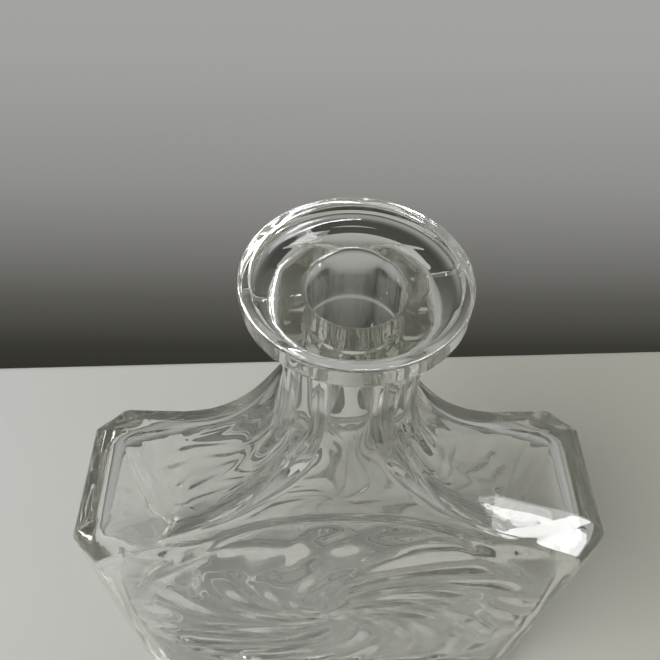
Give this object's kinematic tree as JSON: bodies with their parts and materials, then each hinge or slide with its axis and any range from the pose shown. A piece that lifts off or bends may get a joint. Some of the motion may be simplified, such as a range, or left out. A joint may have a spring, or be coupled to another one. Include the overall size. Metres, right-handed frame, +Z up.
{
  "type": "wine decanter",
  "caption": "Flat faceted glass decanter with concave shoulders, a pressed pinwheel on each broad face and a wide dished mouth.",
  "frame": {"origin": "middle of the foot, on the surface that the decanter stands on", "axes": "+Z up through the mouth, X along the broad way, -Y out of the front face"},
  "size_m": [0.15, 0.0514, 0.2126],
  "materials": {
    "glass": "clear, fire-polished, with a faint green-grey cast in thick glass"
  },
  "bodies": {
    "root": {"foot": "glass", "front_wall": "glass", "back_wall": "glass", "left_end_wall": "glass", "right_end_wall": "glass", "left_front_corner": "glass", "left_back_corner": "glass", "right_front_corner": "glass", "right_back_corner": "glass", "front_shoulder": "glass", "back_shoulder": "glass", "left_shoulder": "glass", "right_shoulder": "glass", "neck": "glass", "mouth_disc": "glass", "front_pinwheel": "glass", "back_pinwheel": "glass"}
  },
  "joints": []
}
